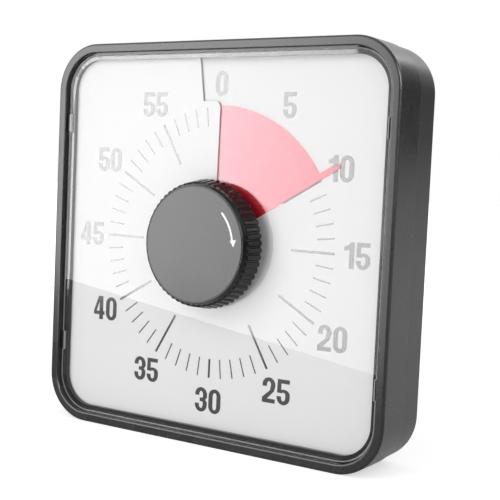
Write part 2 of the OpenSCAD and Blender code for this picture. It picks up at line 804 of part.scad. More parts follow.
module knob_arrow() {
    start = clock(arrow_r, arrow_from);
    color([0.9, 0.9, 0.9]) on_dial() slab(knob_face - ink_t, knob_face) polygon(concat(
        [for (a = arrow_turn) clock(arrow_r + arrow_w / 2, a)],
        [clock(arrow_r + arrow_head / 2 + 0.4, arrow_to), clock(arrow_r + 0.6, arrow_tip),
         clock(arrow_r - arrow_head / 2 + 0.4, arrow_to)],
        [for (i = [12:-1:0]) clock(arrow_r - arrow_w / 2, arrow_turn[i])],
        [for (f = [30:30:150]) start + arrow_w / 2 * (sin(f) * [-cos(arrow_from), sin(arrow_from)]
                                                      - cos(f) * clock(1, arrow_from))]));
}

module arbor() {
    color([0.75, 0.75, 0.77]) on_dial() difference() {
        rod(knob_face + knob_wall + touch, mov_back + 1.6, arbor_r);
        difference() {
            rod(mov_back + 0.1, mov_back + 0.8, arbor_r + 1);
            rod(mov_back, mov_back + 1, arbor_r - 0.5);
        }
    }
}

module alarm_cam() {
    color([0.9, 0.88, 0.8]) on_dial() difference() {
        rod(cam_y, cam_y + cam_t, 5.5);
        rod(cam_y - 1, cam_y + cam_t + 1, arbor_r + touch);
        rotate([0, set_angle + 90, 0]) box([-1.2, cam_y - 1, 4.4], [1.2, cam_y + cam_t + 1, 6]);
    }
}

module clutch_spring() {
    color([0.8, 0.7, 0.4]) on_dial() slab(spring_y, spring_y + spring_t) difference() {
        union() {
            circle(3.4);
            for (i = [0:2]) rotate(120 * i) translate([-1, 0]) square([2, 6]);
        }
        circle(arbor_r + touch);
    }
}

module arbor_clip() {
    color([0.6, 0.6, 0.62]) on_dial() slab(mov_back + 0.15, mov_back + 0.75) difference() {
        circle(4);
        circle(arbor_r - 0.5 + touch);
        translate([-arbor_r + 0.6, 0]) square([2 * arbor_r - 1.2, 5]);
    }
}

// ---------------------------------------------------------------- movement

// A wheel's outline with straight-sided teeth, cut back for play where two wheels mesh
module gear(teeth) {
    pitch_r = gear_module * teeth / 2;
    step = 360 / teeth;
    tip = pitch_r + gear_module * 0.7;
    root = pitch_r - gear_module * 1.15;
    polygon(flat([for (i = [0:teeth - 1]) let (a = i * step)
        [for (q = [[-0.34, root], [-0.19, pitch_r], [-0.07, tip], [0.07, tip], [0.19, pitch_r], [0.34, root]])
            q[1] * [cos(a + q[0] * step), sin(a + q[0] * step)]]]));
}

module pin_places() {
    for (p = [first_at, rotor_at]) translate([p[0], 0, p[1]]) children();
}

module movement_base() {
    inner = mov_half - mov_wall;
    color([0.75, 0.76, 0.78]) on_dial() difference() {
        union() {
            difference() {
                slab(mov_front, mov_lid) square(2 * mov_half, center = true);
                slab(mov_floor, mov_lid + 1) square(2 * inner, center = true);
            }
            rod(plate_y, mov_floor, bushing_r);
            four(mov_screw_at, mov_screw_at) rod(mov_floor - 0.1, mov_lid, 2.6);
            for (x = [-1, 1]) translate([x * (inner - 1.4), 0, 12]) rod(mov_floor - 0.1, board_y, 1.4);
            translate([6, 0, 22]) rod(mov_floor - 0.1, board_y, 1.4);
            for (foot = [[coil_x, arm_top + arm_w - 1.4], [coil_x, stator_low], [rotor_at[0], stator_low]])
                box([foot[0] - 2, mov_floor - 0.1, foot[1]], [foot[0] + 2, rotor_y - 0.5, foot[1] + 1.4]);
        }
        rod(plate_y - 1, mov_floor + 1, arbor_r + running);
        four(mov_screw_at, mov_screw_at) rod(mov_front - 1, mov_lid + 1, mov_screw_r + running);
        pin_places() rod(mov_front - 1, mov_floor + 1, pin_r + touch);
    }
}

module movement_cover() {
    color([0.7, 0.71, 0.73]) on_dial() difference() {
        slab(mov_lid, mov_back) square(2 * mov_half, center = true);
        rod(mov_lid - 1, mov_back + 1, arbor_r + running);
        four(mov_screw_at, mov_screw_at) rod(mov_lid - 1, mov_back + 1, mov_screw_r + running);
        pin_places() rod(mov_lid - 1, mov_back + 1, pin_r + touch);
        box([-8, mov_lid - 1, mov_half - 6], [12, mov_back + 1, mov_half - 4]);
    }
}

module cross_cut(y, reach) {
    for (a = [0, 90]) rotate([0, a, 0]) box([-reach, y, -0.4], [reach, y + 2, 0.4]);
}

module movement_screws() {
    color([0.7, 0.7, 0.72]) on_dial() four(mov_screw_at, mov_screw_at) difference() {
        union() {
            rod(plate_y + 0.1, mov_back + 0.1, mov_screw_r);
            rod(mov_back + touch, mov_back + 1.2, 2.1);
        }
        cross_cut(mov_back + 0.6, 1.3);
    }
}

module wheel_pins() {
    color([0.75, 0.75, 0.77]) on_dial() pin_places() rod(mov_front + touch, mov_back - touch, pin_r);
}

module centre_wheel() {
    color([0.85, 0.72, 0.35]) on_dial() difference() {
        union() {
            slab(centre_y, centre_y + wheel_t) rotate(first_dir) gear(centre_teeth);
            rod(centre_y + wheel_t / 2, boss_end, 4);
        }
        rod(centre_y - 1, boss_end + 1, arbor_r + running);
        for (i = [0:4]) rotate([0, 72 * i, 0]) translate([0, 0, 8.6]) rod(centre_y - 1, boss_end + 1, 2.2);
    }
}

module first_wheel() {
    turn = first_dir + 180 + 180 / pinion_teeth;
    color([0.92, 0.9, 0.84]) on_dial() translate([first_at[0], 0, first_at[1]]) difference() {
        union() {
            slab(first_y, first_y + wheel_t) rotate(rotor_dir) gear(first_teeth);
            slab(first_y + wheel_t / 2, centre_y + wheel_t + 0.3) rotate(turn) gear(pinion_teeth);
        }
        rod(first_y - 1, centre_y + wheel_t + 1, pin_r + running);
    }
}

module rotor() {
    turn = rotor_dir + 180 + 180 / pinion_teeth;
    color([0.3, 0.3, 0.33]) on_dial() translate([rotor_at[0], 0, rotor_at[1]]) difference() {
        union() {
            slab(first_y - 0.1, first_y + wheel_t + 0.2) rotate(turn) gear(pinion_teeth);
            rod(first_y + wheel_t + 0.1, rotor_y - rotor_t / 2 + 0.2, pin_r + 0.45);
            rod(rotor_y - rotor_t / 2, rotor_y + rotor_t / 2, rotor_r);
        }
        rod(first_y - 1, rotor_y + rotor_t, pin_r + running);
    }
}

// Two arms from the rotor's hole to the two ends of the coil's core
module stator() {
    left = rotor_at[0] - rotor_r - 2.4;
    right = coil_x + 2.2;
    color([0.6, 0.6, 0.63]) on_dial() slab(rotor_y - 0.5, rotor_y + 0.5) difference() {
        union() {
            translate([left, stator_low]) square([11, rotor_at[1] + rotor_r + 2.2 - stator_low]);
            translate([left, stator_low]) square([right - left, 3.4]);
            translate([left + 7, rotor_at[1] - 1]) square([arm_x - left - 4, 4]);
            translate([arm_x, rotor_at[1] - 1]) square([arm_w, arm_top - rotor_at[1] + 2]);
            translate([arm_x, arm_top]) square([right - arm_x, arm_w]);
        }
        translate(rotor_at) circle(rotor_r + 0.4);
    }
}

module drive_coil() {
    low = stator_low + 4;
    high = arm_top - 0.6;
    color([0.72, 0.4, 0.2]) on_dial() {
        translate([coil_x, rotor_y, low]) cylinder(r = coil_r, h = high - low);
        for (z = [low - 0.3, high - 0.3]) translate([coil_x, rotor_y, z]) cylinder(r = coil_r + 0.5, h = 0.6);
        box([coil_x - 1.6, rotor_y + 0.52, stator_low + 0.5],
            [coil_x + 1.6, rotor_y + 1.3, arm_top + arm_w - 0.5]);
    }
}

board_low = 9.5;
board_high = mov_half - mov_wall - 0.5;
board_half = mov_half - mov_wall - 0.5;
module circuit_board() {
    color([0.1, 0.42, 0.22]) on_dial() difference() {
        box([-board_half, board_y, board_low], [board_half, board_y + board_t, board_high]);
        four(mov_screw_at, mov_screw_at) rod(board_y - 1, board_y + board_t + 1, 2.8);
    }
}

module quartz_crystal() {
    color([0.8, 0.8, 0.82]) on_dial() translate([-18, board_y - 1.4 - touch, 17]) rotate([0, 90, 0])
        cylinder(r = 1.4, h = 6);
}

module controller_chip() {
    color([0.05, 0.05, 0.05]) on_dial() translate([3, 0, 17])
        turned() polygon(concat([[0, board_y + board_t + touch], [3.6, board_y + board_t + touch]],
            arc([0, board_y + board_t + touch], 3.6, 1.1, 0, 90, 8)));
}

// Two leaves beside the cam: they close the alarm's circuit at zero
module alarm_contact() {
    color([0.85, 0.75, 0.45]) on_dial() for (y = [cam_y, cam_y + 0.9])
        box([5.8, y, -4], [6.1, y + 0.6, board_low + 2]);
    color([0.85, 0.75, 0.45]) on_dial()
        box([5.2, cam_y, board_low + 1], [7.6, board_y - touch, board_low + 3]);
}

// ---------------------------------------------------------------- battery

// A round tube along a list of points, each ring turned on from the one before without a twist
function unit(v) = v / norm(v);
function heading(path, i) = unit(path[min(i + 1, len(path) - 1)] - path[max(i - 1, 0)]);
function carried(path, i, was) = i == len(path) ? [] :
    let (n = heading(path, i), u = unit(was - (was * n) * n)) concat([u], carried(path, i + 1, u));

module tube(path, r, sides = 8) {
    sideways = carried(path, 0, [0.31, 0.52, 0.79]);
    last = (len(path) - 1) * sides;
    polyhedron(
        flat([for (i = [0:len(path) - 1]) let (u = sideways[i], v = cross(heading(path, i), u))
            [for (k = [0:sides - 1]) path[i] + r * (u * cos(360 * k / sides) + v * sin(360 * k / sides))]]),
        concat(
            [[for (k = [0:sides - 1]) k], [for (k = [sides - 1:-1:0]) last + k]],
            flat([for (i = [0:len(path) - 2]) flat([for (k = [0:sides - 1])
                let (a = i * sides + k, b = i * sides + (k + 1) % sides)
                [[a, a + sides, b], [b, a + sides, b + sides]]])])));
}

cell_nub = 1.3;
cell_from = -cell_len / 2 + 1.5;
cell_to = cell_from + cell_len;

module along_x() {
    translate([0, cell_y, battery_z]) rotate([0, 90, 0]) rotate_extrude() children();
}

module battery_cell() {
    body = cell_len - cell_nub;
    color([0.2, 0.35, 0.3]) on_case() translate([cell_from, 0, 0]) along_x()
        polygon([[0, 0], [cell_r - 0.5, 0], [cell_r, 0.5], [cell_r, body - 0.5], [cell_r - 0.5, body],
                 [2.75, body], [2.75, cell_len], [0, cell_len]]);
}

module positive_contact() {
    color([0.8, 0.8, 0.8]) on_case() box([cell_to + touch, cell_y - 5, battery_z - 6],
                                          [bay_half - touch, cell_y - 4, battery_z + 6]);
    color([0.8, 0.8, 0.8]) on_case() box([cell_to + touch, cell_y - 5, battery_z - 6],
                                          [cell_to + 0.5, cell_y + 4, battery_z + 6]);
}

spring_turns = 4;
spring_wire = 0.4;
module spring_contact() {
    base = -bay_half + touch;
    start = base + 0.5 + spring_wire * 0.4;
    run = cell_from - touch - spring_wire - start;
    path = [for (i = [0:12 * spring_turns]) let (s = i / (12 * spring_turns), a = 30 * i, r = 5.2 - 2.4 * s)
        [start + s * run, cell_y + r * cos(a), battery_z + r * sin(a)]];
    color([0.8, 0.8, 0.8]) on_case() {
        box([base, cell_y - 6, battery_z - 6], [base + 0.5, cell_y + 6, battery_z + 6]);
        tube(path, spring_wire);
    }
}

module battery_door() {
    groove = 0.5;
    r = door_t / 2;
    color([0.15, 0.15, 0.16]) on_case() difference() {
        union() {
            translate([-door_half, 0, 0]) rotate([90, 0, 90]) linear_extrude(2 * door_half) polygon(concat(
                [[back_y - door_t, door_low], [back_y, door_low]],
                arc([door_axis_y, door_axis_z], r, r, 0, 180, 10)));
            translate([-door_half - door_pin_len, door_axis_y, door_axis_z]) rotate([0, 90, 0])
                cylinder(r = door_pin_r, h = 2 * (door_half + door_pin_len));
        }
        for (i = [0:3]) let (low = door_low + 2 + 1.8 * i)
            box([-8, back_y - groove, low], [8, back_y + 1, low + 0.9]);
    }
}

// ---------------------------------------------------------------- back

module case_screws() {
    seat = seam_y + tube_floor + touch;
    color([0.7, 0.7, 0.72]) on_case() four(screw_x, screw_z) difference() {
        union() {
            rod(seat - screw_len, seat + 0.2, case_screw_r);
            rod(seat, seat + head_t, head_r);
        }
        cross_cut(seat + 1, 1.9);
    }
}

module buzzer_housing() {
    top = back_in - touch;
    color([0.08, 0.08, 0.08]) on_case() translate([side_x, 0, side_z]) turned() polygon([
        [0, top - buzzer_h], [buzzer_r, top - buzzer_h], [buzzer_r, top], [buzzer_r - 1.6, top],
        [buzzer_r - 1.6, top - 3], [piezo_r - 1, top - 3], [piezo_r - 1, top - buzzer_h + 1.4],
        [0, top - buzzer_h + 1.4]]);
}

module piezo_disc() {
    color([0.85, 0.7, 0.35]) on_case() translate([side_x, 0, side_z])
        rod(back_in - 3 + touch, back_in - 2.5, buzzer_r - 2.2);
}

module volume_switch() {
    top = back_in - touch;
    color([0.2, 0.2, 0.21]) on_case() difference() {
        box([-side_x - switch_half, top - switch_d, side_z - switch_h],
            [-side_x + switch_half, top, side_z + switch_h]);
        box([-side_x - slot_h - slider_travel - play, top - 3, side_z - slot_h - play],
            [-side_x + slot_h + slider_travel + play, top + 1, side_z + slot_h + play]);
    }
}

module volume_slider() {
    cap_y = back_y - 1;
    color([0.5, 0.5, 0.52]) on_case() difference() {
        union() {
            box([-side_x - slider_half, cap_y, side_z - slider_h],
                [-side_x + slider_half, back_y - 0.1, side_z + slider_h]);
            box([-side_x - slot_h, back_in - 2.5, side_z - slot_h],
                [-side_x + slot_h, cap_y + 0.1, side_z + slot_h]);
        }
        for (i = [-1:1]) box([-side_x + 1.5 * i - 0.3, back_y - 0.5, side_z - slider_h - 1],
                             [-side_x + 1.5 * i + 0.3, back_y + 1, side_z + slider_h + 1]);
    }
}

module stand() {
    r = stand_t / 2;
    foot_r = 8;
    rib = 4;
    color([0.15, 0.15, 0.16]) on_case() difference() {
        union() {
            slab(back_y - stand_t, back_y) {
                translate([-stand_half, stand_low + foot_r]) square([2 * stand_half, stand_len - foot_r]);
                translate([-stand_half + foot_r, stand_low]) square([2 * (stand_half - foot_r), foot_r + 1]);
                for (x = [-1, 1]) translate([x * (stand_half - foot_r), stand_low + foot_r]) circle(foot_r);
            }
            translate([-stand_half, 0, 0]) rotate([90, 0, 90]) linear_extrude(2 * stand_half)
                polygon(concat([[back_y - stand_t, stand_z - 1], [back_y, stand_z - 1]],
                               arc([stand_axis_y, stand_z], r, r, 0, 180, 10)));
            translate([-stand_half - pivot_len, stand_axis_y, stand_z]) rotate([0, 90, 0])
                cylinder(r = pivot_r, h = 2 * (stand_half + pivot_len));
        }
        box([-stand_half + rib, back_y - stand_t - 1, stand_low + 18],
            [stand_half - rib, back_y - stand_t + 1.5, stand_z - 7]);
    }
}

// ---------------------------------------------------------------- wires

wire_r = 0.6;
wire_y = mov_back + 2;
outlet_z = dial_rise + mov_half - 5;

// A lead from the board out through the cover's slot, up or down behind the cover, then along its own points
function lead(x, turn, points) = concat(
    [[x, board_y + board_t + touch, outlet_z], [x, mov_back - 0.5, outlet_z],
     [x, mov_back + 1, outlet_z], [x, wire_y, outlet_z + turn]], points);

module battery_wires() {
    out = bay_half + bay_side + wire_r + 0.1;
    color([0.7, 0.1, 0.1]) on_case() for (side = [-1, 1])
        tube(lead(1.8 + 8.8 * side, 1, [
            [1 + 11 * side, wire_y, outlet_z + 2], [16 * side, wire_y, 28], [25 * side, wire_y, 30],
            [out * side, wire_y, 32], [out * side, wire_y, battery_z - 5], [out * side, wire_y, battery_z]]),
            wire_r);
}

module buzzer_wires() {
    color([0.1, 0.1, 0.1]) on_case() for (i = [0, 1])
        tube(lead(8.4 - 2.2 * i, -1, concat(
            [for (p = [[13, 9.5, 19], [24, 9.5, 14], [34, 9.5, 2], [42, 8, -14], [48, 6, -26]])
                p - 1.6 * i * [1, 0, 1]],
            [[side_x - 6 - 1.6 * i, back_in - buzzer_h - wire_r - 0.1, side_z + 3 - 1.6 * i]])), wire_r);
}

module switch_wires() {
    color([0.2, 0.3, 0.7]) on_case() for (i = [0, 1])
        tube(lead(-4.6 + 2.2 * i, -1, concat(
            [for (p = [[-10, 9.5, 19], [-24, 9.5, 14], [-34, 9.5, 2], [-42, 9, -14], [-50, 8, -26]])
                p + 1.6 * i * [1, 0, -1]],
            [[-side_x + 2 * i, back_in - switch_d - wire_r - 0.1, side_z - 2.2 * i]])), wire_r);
}

front_bezel();
rear_housing();
lens();
dial_card();
minute_marks();
numerals();
dial_plate();
case_screws();
knob();
knob_arrow();
arbor();
alarm_cam();
clutch_spring();
arbor_clip();
time_disc();
disc_hub();
movement_base();
movement_cover();
movement_screws();
wheel_pins();
centre_wheel();
first_wheel();
rotor();
stator();
drive_coil();
circuit_board();
quartz_crystal();
controller_chip();
alarm_contact();
battery_cell();
positive_contact();
spring_contact();
battery_door();
buzzer_housing();
piezo_disc();
volume_switch();
volume_slider();
stand();
battery_wires();
buzzer_wires();
switch_wires();
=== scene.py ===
"""Looks of the visual countdown timer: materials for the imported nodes, a pale studio and the camera.

Lengths and places are in metres. The dial faces -Y, and +Z is up."""
import math

import bpy
from mathutils import Euler, Matrix, Vector


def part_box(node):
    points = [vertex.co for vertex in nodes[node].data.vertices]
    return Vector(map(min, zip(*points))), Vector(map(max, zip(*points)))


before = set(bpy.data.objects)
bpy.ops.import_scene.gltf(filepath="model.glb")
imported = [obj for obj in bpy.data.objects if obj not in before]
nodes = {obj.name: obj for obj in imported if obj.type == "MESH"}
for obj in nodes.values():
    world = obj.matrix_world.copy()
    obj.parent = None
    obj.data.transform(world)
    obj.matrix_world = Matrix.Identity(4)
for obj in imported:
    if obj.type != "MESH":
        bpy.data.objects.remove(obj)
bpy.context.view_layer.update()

# Height of the middle of the case, where the dial's axis runs
case_low, case_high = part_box("front_bezel")
CASE_MIDDLE = (case_low[2] + case_high[2]) / 2

# The window in the frame: its half width reaches just past the lens, and its corners are round
PAST_LENS = 0.0007
WINDOW_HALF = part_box("lens")[1][0] + PAST_LENS
WINDOW_CORNER = 0.0186

# Most values of a noise texture lie between these two
NOISE_LOW = 0.3
NOISE_HIGH = 0.7


# ---------------------------------------------------------------- node helpers

def tone(colour, factor):
    """The colour made darker or lighter by a factor."""
    return tuple(max(0.0, min(1.0, c * factor)) for c in colour)


class Graph:
    """A material's node tree, with short ways to add and link its nodes."""

    def __init__(self, name):
        self.take(bpy.data.materials.new(name), "ShaderNodeOutputMaterial")
        self.coord = self.add("ShaderNodeTexCoord")

    def take(self, block, output):
        """Take over the node tree of a material or world, empty but for its output."""
        self.block = block
        self.block.use_nodes = True
        self.tree = self.block.node_tree
        self.tree.nodes.clear()
        self.out = self.add(output)

    def add(self, kind, **values):
        node = self.tree.nodes.new(kind)
        for key, value in values.items():
            setattr(node, key, value)
        return node

    def link(self, source, target):
        self.tree.links.new(source, target)

    def finish(self, shader):
        self.link(shader, self.out.inputs["Surface"])
        return self.block

    # Numbers

    def math(self, op, first, second=0.0):
        node = self.add("ShaderNodeMath", operation=op)
        for socket, value in zip(node.inputs, (first, second)):
            if isinstance(value, (int, float)):
                socket.default_value = value
            else:
                self.link(value, socket)
        return node.outputs[0]

    def span(self, fac, low, high, start=NOISE_LOW, end=NOISE_HIGH):
        """A number that goes from low to high while the input goes from start to end."""
        node = self.add("ShaderNodeMapRange")
        node.inputs["From Min"].default_value = start
        node.inputs["From Max"].default_value = end
        node.inputs["To Min"].default_value = low
        node.inputs["To Max"].default_value = high
        self.link(fac, node.inputs["Value"])
        return node.outputs["Result"]

    def noise(self, scale, detail, rough=0.55, stretch=(1, 1, 1)):
        """Noise over the object's own place."""
        mapping = self.add("ShaderNodeMapping")
        mapping.inputs["Scale"].default_value = stretch
        self.link(self.coord.outputs["Object"], mapping.inputs["Vector"])
        tex = self.add("ShaderNodeTexNoise")
        tex.inputs["Scale"].default_value = scale
        tex.inputs["Detail"].default_value = detail
        tex.inputs["Roughness"].default_value = rough
        self.link(mapping.outputs["Vector"], tex.inputs["Vector"])
        return tex.outputs["Fac"]

    def patches(self, stretch=(1, 1, 1)):
        """The uneven patches that every moulded, printed or metal finish has."""
        return self.noise(45, 5, 0.6, stretch)

    def along(self, space, axis):
        """One coordinate of the object's own place ("Object") or of its surface's direction ("Normal")."""
        parts = self.add("ShaderNodeSeparateXYZ")
        self.link(self.coord.outputs[space], parts.inputs["Vector"])
        return parts.outputs[axis]

    def faces_front(self, least):
        """1 where the surface faces the front by at least this much of 1, else 0."""
        return self.math("LESS_THAN", self.along("Normal", "Y"), -least)

    def backfacing(self):
        """1 on the far side of a face, else 0."""
        return self.add("ShaderNodeNewGeometry").outputs["Backfacing"]

    def in_window(self):
        """1 inside the window's rounded square, else 0."""
        across = self.along("Object", "X")
        upward = self.math("SUBTRACT", self.along("Object", "Z"), CASE_MIDDLE)
        squares = []
        for side in (across, upward):
            past_flat = self.math("SUBTRACT", self.math("ABSOLUTE", side), WINDOW_HALF - WINDOW_CORNER)
            over = self.math("MAXIMUM", past_flat, 0.0)
            squares.append(self.math("MULTIPLY", over, over))
        return self.math("LESS_THAN", self.math("ADD", *squares), WINDOW_CORNER * WINDOW_CORNER)

    def from_axis(self):
        """Distance from the dial's axis."""
        flat = self.add("ShaderNodeMapping")
        flat.inputs["Location"].default_value = (0, 0, -CASE_MIDDLE)
        flat.inputs["Scale"].default_value = (1, 0, 1)
        self.link(self.coord.outputs["Object"], flat.inputs["Vector"])
        length = self.add("ShaderNodeVectorMath", operation="LENGTH")
        self.link(flat.outputs["Vector"], length.inputs[0])
        return length.outputs["Value"]

    # Colours

    def shades(self, fac, first, second):
        """From one colour where the noise is low to the other where it is high."""
        node = self.add("ShaderNodeValToRGB")
        stops = ((NOISE_LOW, first), (NOISE_HIGH, second))
        for element, (place, colour) in zip(node.color_ramp.elements, stops):
            element.position = place
            element.color = (*colour, 1)
        self.link(fac, node.inputs["Fac"])
        return node.outputs["Color"]

    def uneven(self, fac, colour, shade=0.12):
        """A colour that the noise makes a little darker or lighter."""
        return self.shades(fac, tone(colour, 1 - shade), tone(colour, 1 + shade))

    # Normals

    def bump(self, height, depth, strength, normal=None):
        node = self.add("ShaderNodeBump")
        node.inputs["Strength"].default_value = strength
        node.inputs["Distance"].default_value = depth
        self.link(height, node.inputs["Height"])
        if normal is not None:
            self.link(normal, node.inputs["Normal"])
        return node.outputs["Normal"]

    def soft_edge(self, radius):
        node = self.add("ShaderNodeBevel", samples=6)
        node.inputs["Radius"].default_value = radius
        return node.outputs["Normal"]

    def leaning(self, mask, lean_x, lean_z):
        """The surface's own normal, which leans along X and Z where the mask is 1."""
        lean = self.add("ShaderNodeCombineXYZ")
        self.link(self.math("MULTIPLY", mask, lean_x), lean.inputs["X"])
        self.link(self.math("MULTIPLY", mask, lean_z), lean.inputs["Z"])
        own = self.add("ShaderNodeNewGeometry")
        total = self.add("ShaderNodeVectorMath", operation="ADD")
        self.link(own.outputs["Normal"], total.inputs[0])
        self.link(lean.outputs["Vector"], total.inputs[1])
        unit = self.add("ShaderNodeVectorMath", operation="NORMALIZE")
        self.link(total.outputs["Vector"], unit.inputs[0])
        return unit.outputs["Vector"]

    # Shaders

    def plain(self, kind, colour):
        """A diffuse, translucent or transparent shader in one colour."""
        node = self.add(kind)
        node.inputs["Color"].default_value = (*colour, 1)
        return node.outputs["BSDF"]

    def principled(self, paint, gloss, rough, vary=0.04, metal=0.0, specular=0.5, ior=1.5):
        """A principled shader. The gloss texture makes its roughness vary either way."""
        bsdf = self.add("ShaderNodeBsdfPrincipled")
        bsdf.inputs["Metallic"].default_value = metal
        bsdf.inputs["Specular IOR Level"].default_value = specular
        bsdf.inputs["IOR"].default_value = ior
        self.link(paint, bsdf.inputs["Base Color"])
        self.link(self.span(gloss, rough - vary, rough + vary), bsdf.inputs["Roughness"])
        return bsdf

    def mix(self, fac, first, second):
        node = self.add("ShaderNodeMixShader")
        if isinstance(fac, float):
            node.inputs["Fac"].default_value = fac
        else:
            self.link(fac, node.inputs["Fac"])
        self.link(first, node.inputs[1])
        self.link(second, node.inputs[2])
        return node.outputs["Shader"]


# ---------------------------------------------------------------- materials

CASE_BLACK = (0.03, 0.03, 0.031)


def surface(name, colour, rough, vary, grain, depth, strength, shade=0.12, metal=0.0, edge=0.0,
            specular=0.5, stretch=(1, 1, 1), ior=1.5):
    """An opaque moulded, printed or metal finish with fine grain, uneven gloss and slight colour change.

    The roughness goes from rough - vary to rough + vary. The grain is finer for a higher number, depth is
    its height, and strength says how much of it shows. The colour goes shade darker and lighter. Sharp
    edges look rounded to the radius edge, and stretch draws the grain out along an axis."""
    g = Graph(name)
    patch_share = 0.6
    patches = g.patches(stretch)
    fine = g.noise(grain, 2, 0.6, stretch)
    mixed = g.math("ADD", g.math("MULTIPLY", patches, patch_share), g.math("MULTIPLY", fine, 1 - patch_share))
    bsdf = g.principled(g.uneven(mixed, colour, shade), patches, rough, vary, metal, specular, ior)
    rounded = g.soft_edge(edge) if edge else None
    g.link(g.bump(fine, depth, strength, rounded), bsdf.inputs["Normal"])
    return g.finish(bsdf.outputs["BSDF"])


def lens_material():
    """Clear sheet: light passes straight through, the front face mirrors a little, and the cut edge
    catches light."""
    g = Graph("clear_sheet")
    edge_grey = (0.86, 0.88, 0.88)
    edge_share = 0.8
    flat_limit = 0.8
    clear = g.plain("ShaderNodeBsdfTransparent", (0.99, 0.99, 0.99))
    gloss = g.add("ShaderNodeBsdfGlossy")
    g.link(g.span(g.noise(30, 4), 0.004, 0.02), gloss.inputs["Roughness"])
    fresnel = g.add("ShaderNodeFresnel")
    fresnel.inputs["IOR"].default_value = 1.46
    mirrored = g.math("MULTIPLY", fresnel.outputs["Fac"], g.math("SUBTRACT", 1.0, g.backfacing()))
    face = g.mix(mirrored, clear, gloss.outputs["BSDF"])
    glowing = g.plain("ShaderNodeBsdfTranslucent", edge_grey)
    lit = g.plain("ShaderNodeBsdfDiffuse", edge_grey)
    cut_edge = g.mix(edge_share, clear, g.mix(0.5, glowing, lit))
    sideways = g.math("LESS_THAN", g.math("ABSOLUTE", g.along("Normal", "Y")), flat_limit)
    return g.finish(g.mix(sideways, face, cut_edge))


def film_material():
    """Thin glossy red film: its own colour and gloss where light meets it, and what lies below shows
    through. Light leaves it freely on the far side. Its shading falls away a little from the axis, like
    the slight crown of a real film."""
    g = Graph("red_film")
    crown_slope = 0.1
    glow_share = 0.35
    seen_through = 0.42
    patches = g.noise(22, 4)
    paint = g.shades(patches, (0.5, 0.03, 0.075), (0.54, 0.04, 0.09))
    body = g.principled(paint, patches, rough=0.1, vary=0.02, specular=1.0, ior=2.35)
    body.inputs["Specular Tint"].default_value = (0.8, 0.84, 0.91, 1)
    crown = g.bump(g.from_axis(), -crown_slope, 1.0)
    g.link(g.bump(g.noise(60, 2), 0.000004, 0.05, crown), body.inputs["Normal"])
    through = g.plain("ShaderNodeBsdfTranslucent", (0.8, 0.04, 0.06))
    tinted = g.plain("ShaderNodeBsdfTransparent", (0.85, 0.02, 0.03))
    clear = g.plain("ShaderNodeBsdfTransparent", (1, 1, 1))
    film = g.mix(seen_through, g.mix(glow_share, body.outputs["BSDF"], through), tinted)
    return g.finish(g.mix(g.backfacing(), film, clear))


def knob_material():
    """Black moulding: a satin front face, and a ribbed side of glossier black. The side's darker colour is
    painted shade, as it is the same moulding as the face.
    """
    g = Graph("knob_black")
    patches = g.patches()
    relief = g.bump(g.noise(2600, 2, 0.6), 0.00002, 0.25, g.soft_edge(0.0002))
    # Painted shade: the ribbed side gets a darker base colour than the face of the same moulding
    side = g.principled(g.uneven(patches, (0.006, 0.006, 0.0065)), patches, rough=0.14, specular=0.35)
    face = g.principled(g.uneven(patches, (0.014, 0.014, 0.015)), patches, rough=0.26, specular=0.64)
    for bsdf in (side, face):
        g.link(relief, bsdf.inputs["Normal"])
    return g.finish(g.mix(g.faces_front(0.95), side.outputs["BSDF"], face.outputs["BSDF"]))


def frame_material():
    """Satin black frame. Inside the window its walls and its ledge below the lens are a deeper black, which
    is painted shade for the recess, and the ledge is the glossiest. The shading of the ledge's two upright
    sides leans towards +X and a little down."""
    g = Graph("frame_black")
    ledge_lean = (0.17, -0.03)
    patches = g.patches()
    # Painted shade: the walls and the ledge inside the window take the frame's black at 0.3 of its brightness
    recess_painted_shade = g.uneven(patches, tone(CASE_BLACK, 0.3))
    satin = g.principled(g.uneven(patches, CASE_BLACK), patches, rough=0.28, specular=0.6)
    wall = g.principled(recess_painted_shade, patches, rough=0.1, specular=0.6)
    ledge = g.principled(recess_painted_shade, patches, rough=0.12, specular=1.0, ior=1.62)
    relief = g.bump(g.noise(1800, 2, 0.6), 0.00003, 0.3, g.soft_edge(0.0003))
    for bsdf in (satin, wall):
        g.link(relief, bsdf.inputs["Normal"])
    across = g.math("ABSOLUTE", g.along("Object", "X"))
    at_sides = g.math("GREATER_THAN", across, WINDOW_HALF - WINDOW_CORNER)
    g.link(g.leaning(at_sides, *ledge_lean), ledge.inputs["Normal"])
    inside = g.mix(g.faces_front(0.9), wall.outputs["BSDF"], ledge.outputs["BSDF"])
    return g.finish(g.mix(g.in_window(), satin.outputs["BSDF"], inside))


# The case, the dial and the printing
black = surface("moulded_black", CASE_BLACK, rough=0.36, vary=0.04, grain=1800, depth=0.00003,
                strength=0.3, edge=0.0003, specular=0.6)
card_white = surface("card_white", (0.80, 0.80, 0.80), rough=0.6, vary=0.06, grain=700, depth=0.00001,
                     strength=0.04, shade=0.006, specular=0.05)
ink = surface("printed_ink", (0.062, 0.063, 0.067), rough=0.16, vary=0.03, grain=2500, depth=0.00001,
              strength=0.05, shade=0.1, specular=1.0, ior=1.64)
arrow_white = surface("arrow_print", (0.9, 0.9, 0.9), rough=0.5, vary=0.05, grain=2500, depth=0.00001,
                      strength=0.2, shade=0.05)
plate_white = surface("plate_white", (0.66, 0.66, 0.63), rough=0.5, vary=0.08, grain=1600, depth=0.00003,
                      strength=0.35, shade=0.05)
switch_grey = surface("switch_grey", (0.09, 0.09, 0.1), rough=0.5, vary=0.06, grain=1800, depth=0.00004,
                      strength=0.4, edge=0.0002)

